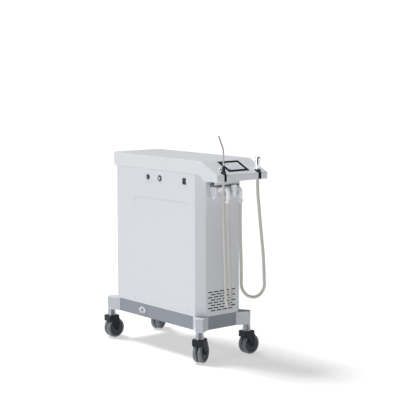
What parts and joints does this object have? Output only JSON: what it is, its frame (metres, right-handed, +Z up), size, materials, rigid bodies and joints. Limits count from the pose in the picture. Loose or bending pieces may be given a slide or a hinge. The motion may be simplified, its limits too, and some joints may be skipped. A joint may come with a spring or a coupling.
{
  "type": "mobile suction therapy cart",
  "caption": "Narrow treatment cart with chamfered white cabinet, sloped touch console, two hose-fed handpieces in holders and twin-wheel casters.",
  "frame": {"origin": "centre of the footprint of the cart without its hoses, on the floor", "axes": "+X towards the end with the sloped console and the hoses, +Y towards the side away from the push button and key switch, +Z up"},
  "size_m": [1.0187, 0.4614, 1.2395],
  "materials": {
    "cabinet_paint": "satin white powder coat",
    "cap_shell": "smooth white moulding",
    "base_paint": "satin blue-grey paint",
    "cast_aluminium": "satin cast aluminium",
    "socket_plate": "light grey moulding",
    "fork_plastic": "near-black moulded nylon",
    "wheel_rubber": "dark grey tread",
    "pedal_plastic": "dark grey nylon",
    "black_gloss": "polished black",
    "black_matte": "fine textured black",
    "display": "lit screen behind glass",
    "port_white": "glossy white moulding",
    "gasket": "dark seal",
    "hose_silicone": "warm grey silicone",
    "chrome_plate": "polished chrome",
    "steel_tube": "polished stainless steel",
    "zinc": "zinc-plated steel",
    "pump_casting": "die-cast aluminium",
    "isolator_rubber": "black rubber",
    "canister_plastic": "translucent moulding",
    "power_case": "folded aluminium case",
    "board_green": "solder mask over glass epoxy"
  },
  "bodies": {
    "cabinet": {"base_rails": "base_paint", "base_outriggers": "base_paint", "base_deck": "zinc", "leg_spigots": "cast_aluminium", "foot_switch_socket": "socket_plate", "corner_posts": "cabinet_paint", "near_side_panel": "cabinet_paint", "near_access_cover": "cabinet_paint", "far_side_panel": "cabinet_paint", "far_service_cover": "cabinet_paint", "front_panel": "cabinet_paint", "rear_panel": "cabinet_paint", "top_cap": "cap_shell", "screen_bezel": "black_gloss", "display_glass": "display", "manifold_housing": "port_white", "manifold_gasket": "gasket", "manifold_lid": "port_white", "strainer_cup": "port_white", "drain_plug": "port_white", "control_bezels": "black_matte", "screw_heads": "zinc", "mains_inlet": "black_matte", "earth_pin": "zinc", "exhaust_grille": "black_matte", "fan_frame": "black_matte", "vacuum_pump": "pump_casting", "pump_mounts": "isolator_rubber", "collection_canister": "canister_plastic", "power_supply": "power_case", "control_board": "board_green", "holder_inserts": "black_matte", "thin_hose_elbow": "port_white", "thick_hose_elbow": "port_white", "thin_hose": "hose_silicone", "thick_hose": "hose_silicone"},
    "cannula": {"cannula_handle": "black_gloss", "cannula_tube": "steel_tube", "cannula_vent_lever": "chrome_plate"},
    "handpiece": {"handpiece_body": "chrome_plate", "handpiece_collar": "black_gloss"},
    "power_button": {"power_button": "black_gloss"},
    "key_barrel": {"key_barrel": "zinc"},
    "rocker_paddle": {"rocker_paddle": "black_gloss"},
    "regulator_knob": {"regulator_knob": "port_white"},
    "fan_rotor": {"fan_rotor": "black_matte"},
    "caster_near_front": {"fork_near_front": "fork_plastic"},
    "wheel_inner_near_front": {"wheel_inner_near_front": "wheel_rubber"},
    "wheel_outer_near_front": {"wheel_outer_near_front": "wheel_rubber"},
    "pedal_near_front": {"brake_pedal_near_front": "pedal_plastic"},
    "caster_far_front": {"fork_far_front": "fork_plastic"},
    "wheel_inner_far_front": {"wheel_inner_far_front": "wheel_rubber"},
    "wheel_outer_far_front": {"wheel_outer_far_front": "wheel_rubber"},
    "caster_near_rear": {"fork_near_rear": "fork_plastic"},
    "wheel_inner_near_rear": {"wheel_inner_near_rear": "wheel_rubber"},
    "wheel_outer_near_rear": {"wheel_outer_near_rear": "wheel_rubber"},
    "caster_far_rear": {"fork_far_rear": "fork_plastic"},
    "wheel_inner_far_rear": {"wheel_inner_far_rear": "wheel_rubber"},
    "wheel_outer_far_rear": {"wheel_outer_far_rear": "wheel_rubber"},
    "pedal_far_rear": {"brake_pedal_far_rear": "pedal_plastic"}
  },
  "joints": [
    {"name": "cannula_lift", "type": "slide", "parent": "cabinet", "child": "cannula", "axis": [0, 0, 1], "range_m": [0, 0.08]},
    {"name": "handpiece_lift", "type": "slide", "parent": "cabinet", "child": "handpiece", "axis": [0, 0, 1], "range_m": [0, 0.08]},
    {"name": "power_button_press", "type": "slide", "parent": "cabinet", "child": "power_button", "axis": [0, 1, 0], "range_m": [0, 0.003], "stiffness_N_per_m": 300},
    {"name": "key_turn", "type": "hinge", "parent": "cabinet", "child": "key_barrel", "pos_m": [0.00692, -0.1695, 0.981], "axis": [0, 1, 0], "range_deg": [0, 90]},
    {"name": "rocker_tilt", "type": "hinge", "parent": "cabinet", "child": "rocker_paddle", "pos_m": [0.22492, -0.1705, 0.981], "axis": [1, 0, 0], "range_deg": [-15, 0]},
    {"name": "regulator_turn", "type": "hinge", "parent": "cabinet", "child": "regulator_knob", "pos_m": [0.41892, -0.0845, 0.945], "axis": [1, 0, 0], "range_deg": [0, 270]},
    {"name": "fan_spin", "type": "hinge", "parent": "cabinet", "child": "fan_rotor", "pos_m": [-0.42908, -0.0145, 0.42], "axis": [1, 0, 0], "continuous": true},
    {"name": "swivel_near_front", "type": "hinge", "parent": "cabinet", "child": "caster_near_front", "pos_m": [0.36892, -0.1845, 0.14], "axis": [0, 0, 1], "continuous": true},
    {"name": "roll_inner_near_front", "type": "hinge", "parent": "caster_near_front", "child": "wheel_inner_near_front", "pos_m": [0.36216, -0.17, 0.057], "axis": [0.9063, 0.4226, 0], "continuous": true},
    {"name": "roll_outer_near_front", "type": "hinge", "parent": "caster_near_front", "child": "wheel_outer_near_front", "pos_m": [0.36216, -0.17, 0.057], "axis": [0.9063, 0.4226, 0], "continuous": true},
    {"name": "brake_near_front", "type": "hinge", "parent": "caster_near_front", "child": "pedal_near_front", "pos_m": [0.35814, -0.16139, 0.122], "axis": [0.9063, 0.4226, 0], "range_deg": [-18, 0]},
    {"name": "swivel_far_front", "type": "hinge", "parent": "cabinet", "child": "caster_far_front", "pos_m": [0.36892, 0.1555, 0.14], "axis": [0, 0, 1], "continuous": true},
    {"name": "roll_inner_far_front", "type": "hinge", "parent": "caster_far_front", "child": "wheel_inner_far_front", "pos_m": [0.36892, 0.1715, 0.057], "axis": [1, 0, 0], "continuous": true},
    {"name": "roll_outer_far_front", "type": "hinge", "parent": "caster_far_front", "child": "wheel_outer_far_front", "pos_m": [0.36892, 0.1715, 0.057], "axis": [1, 0, 0], "continuous": true},
    {"name": "swivel_near_rear", "type": "hinge", "parent": "cabinet", "child": "caster_near_rear", "pos_m": [-0.45108, -0.1845, 0.14], "axis": [0, 0, 1], "continuous": true},
    {"name": "roll_inner_near_rear", "type": "hinge", "parent": "caster_near_rear", "child": "wheel_inner_near_rear", "pos_m": [-0.45108, -0.1685, 0.057], "axis": [1, 0, 0], "continuous": true},
    {"name": "roll_outer_near_rear", "type": "hinge", "parent": "caster_near_rear", "child": "wheel_outer_near_rear", "pos_m": [-0.45108, -0.1685, 0.057], "axis": [1, 0, 0], "continuous": true},
    {"name": "swivel_far_rear", "type": "hinge", "parent": "cabinet", "child": "caster_far_rear", "pos_m": [-0.45108, 0.1555, 0.14], "axis": [0, 0, 1], "continuous": true},
    {"name": "roll_inner_far_rear", "type": "hinge", "parent": "caster_far_rear", "child": "wheel_inner_far_rear", "pos_m": [-0.45784, 0.17, 0.057], "axis": [0.9063, 0.4226, 0], "continuous": true},
    {"name": "roll_outer_far_rear", "type": "hinge", "parent": "caster_far_rear", "child": "wheel_outer_far_rear", "pos_m": [-0.45784, 0.17, 0.057], "axis": [0.9063, 0.4226, 0], "continuous": true},
    {"name": "brake_far_rear", "type": "hinge", "parent": "caster_far_rear", "child": "pedal_far_rear", "pos_m": [-0.46186, 0.17861, 0.122], "axis": [0.9063, 0.4226, 0], "range_deg": [-18, 0]}
  ]
}
